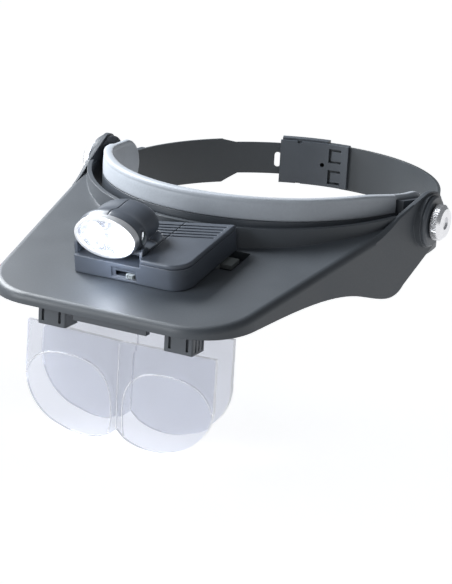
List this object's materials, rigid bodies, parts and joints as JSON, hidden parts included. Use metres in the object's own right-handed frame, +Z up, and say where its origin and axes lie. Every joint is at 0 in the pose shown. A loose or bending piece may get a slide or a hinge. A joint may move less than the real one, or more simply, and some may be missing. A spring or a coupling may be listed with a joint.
{
  "type": "head visor magnifier",
  "caption": "Head-worn magnifier visor with twin lens plates on hinged clips, a tilting lamp, thumb-screw pivots and an adjustable head strap.",
  "frame": {"origin": "centre of the head ring at mid height of the rear strap", "axes": "+X is the wearer's left, -Y is forward past the lenses, +Z is up through the top of the head; the tilt axis of the visor is parallel to X"},
  "size_m": [0.1986, 0.2634, 0.1084],
  "materials": {
    "hood_plastic": "fine satin texture, blue-grey",
    "dark_plastic": "satin, dark grey",
    "strap_plastic": "smooth satin, dark grey",
    "lamp_plastic": "satin, dark blue-grey",
    "pad_foam": "soft vinyl-skinned foam, light grey",
    "silver": "bright knurled",
    "bright_ring": "bright plated",
    "steel": "plain",
    "brass": "plain",
    "clear_lens": "polished clear acrylic",
    "reflector": "mirror coated",
    "led": "clear dome",
    "board": "solder resist",
    "foot_plastic": "satin, mid grey"
  },
  "bodies": {
    "headband": {"forehead_pad": "pad_foam", "brow_band": "dark_plastic", "temple_bracket_left": "dark_plastic", "temple_bracket_right": "dark_plastic", "pivot_nut_left": "brass", "pivot_nut_right": "brass", "strap_slotted": "strap_plastic", "strap_plain": "strap_plastic", "strap_rivets": "steel", "buckle_frame": "dark_plastic", "buckle_cover": "dark_plastic", "button_spring": "steel"},
    "release_button": {"release_button": "dark_plastic"},
    "visor": {"visor_shell": "hood_plastic", "lens_rail": "dark_plastic", "rail_screws": "steel", "pivot_washer_left": "dark_plastic", "pivot_washer_right": "dark_plastic", "rear_clip_left": "dark_plastic", "rear_clip_right": "dark_plastic"},
    "thumb_left": {"thumb_screw_left": "silver"},
    "thumb_right": {"thumb_screw_right": "silver"},
    "front_clips": {"front_clip_left": "dark_plastic", "front_clip_right": "dark_plastic", "hinge_rod": "steel"},
    "front_lens": {"front_lens_plate": "clear_lens"},
    "rear_lens": {"rear_lens_plate": "clear_lens"},
    "lamp": {"lamp_housing": "lamp_plastic", "lamp_bottom_plate": "lamp_plastic", "lamp_foot": "foot_plastic", "coin_cells": "steel", "cell_contacts": "brass", "circuit_board": "board"},
    "battery_cover": {"battery_cover": "lamp_plastic"},
    "switch": {"switch_slider": "foot_plastic"},
    "lamp_head": {"lamp_head_left": "lamp_plastic", "lamp_head_right": "lamp_plastic", "lamp_bezel": "bright_ring", "lamp_reflector": "reflector", "lamp_lens": "clear_lens", "lamp_leds": "led", "led_board": "board"}
  },
  "joints": [
    {"name": "visor_tilt", "type": "hinge", "parent": "headband", "child": "visor", "pos_m": [0, -0.012, 0.009], "axis": [-1, 0, 0], "range_deg": [0, 70]},
    {"name": "thumb_left_turn", "type": "hinge", "parent": "headband", "child": "thumb_left", "pos_m": [0.09, -0.012, 0.009], "axis": [1, 0, 0], "continuous": true},
    {"name": "thumb_right_turn", "type": "hinge", "parent": "headband", "child": "thumb_right", "pos_m": [-0.09, -0.012, 0.009], "axis": [-1, 0, 0], "continuous": true},
    {"name": "front_lens_flip", "type": "hinge", "parent": "visor", "child": "front_clips", "pos_m": [0, -0.1504, -0.0206], "axis": [-1, 0, 0], "range_deg": [0, 90]},
    {"name": "front_lens_pull", "type": "slide", "parent": "front_clips", "child": "front_lens", "axis": [0, 0, -1], "range_m": [0, 0.012]},
    {"name": "rear_lens_pull", "type": "slide", "parent": "visor", "child": "rear_lens", "axis": [0, 0, -1], "range_m": [0, 0.012]},
    {"name": "lamp_unhook", "type": "slide", "parent": "visor", "child": "lamp", "axis": [1, 0, 0], "range_m": [0, 0.004]},
    {"name": "lamp_head_tilt", "type": "hinge", "parent": "lamp", "child": "lamp_head", "pos_m": [-0.012, -0.13803, 0.00568], "axis": [-1, 0, 0], "range_deg": [-10, 12]},
    {"name": "battery_cover_slide", "type": "slide", "parent": "lamp", "child": "battery_cover", "axis": [0, -0.9821, -0.1886], "range_m": [0, 0.012]},
    {"name": "switch_slide", "type": "slide", "parent": "lamp", "child": "switch", "axis": [-1, 0, 0], "range_m": [0, 0.004]},
    {"name": "release_press", "type": "slide", "parent": "headband", "child": "release_button", "axis": [0.225, -0.9744, 0], "range_m": [0, 0.0007], "stiffness_N_per_m": 400}
  ]
}
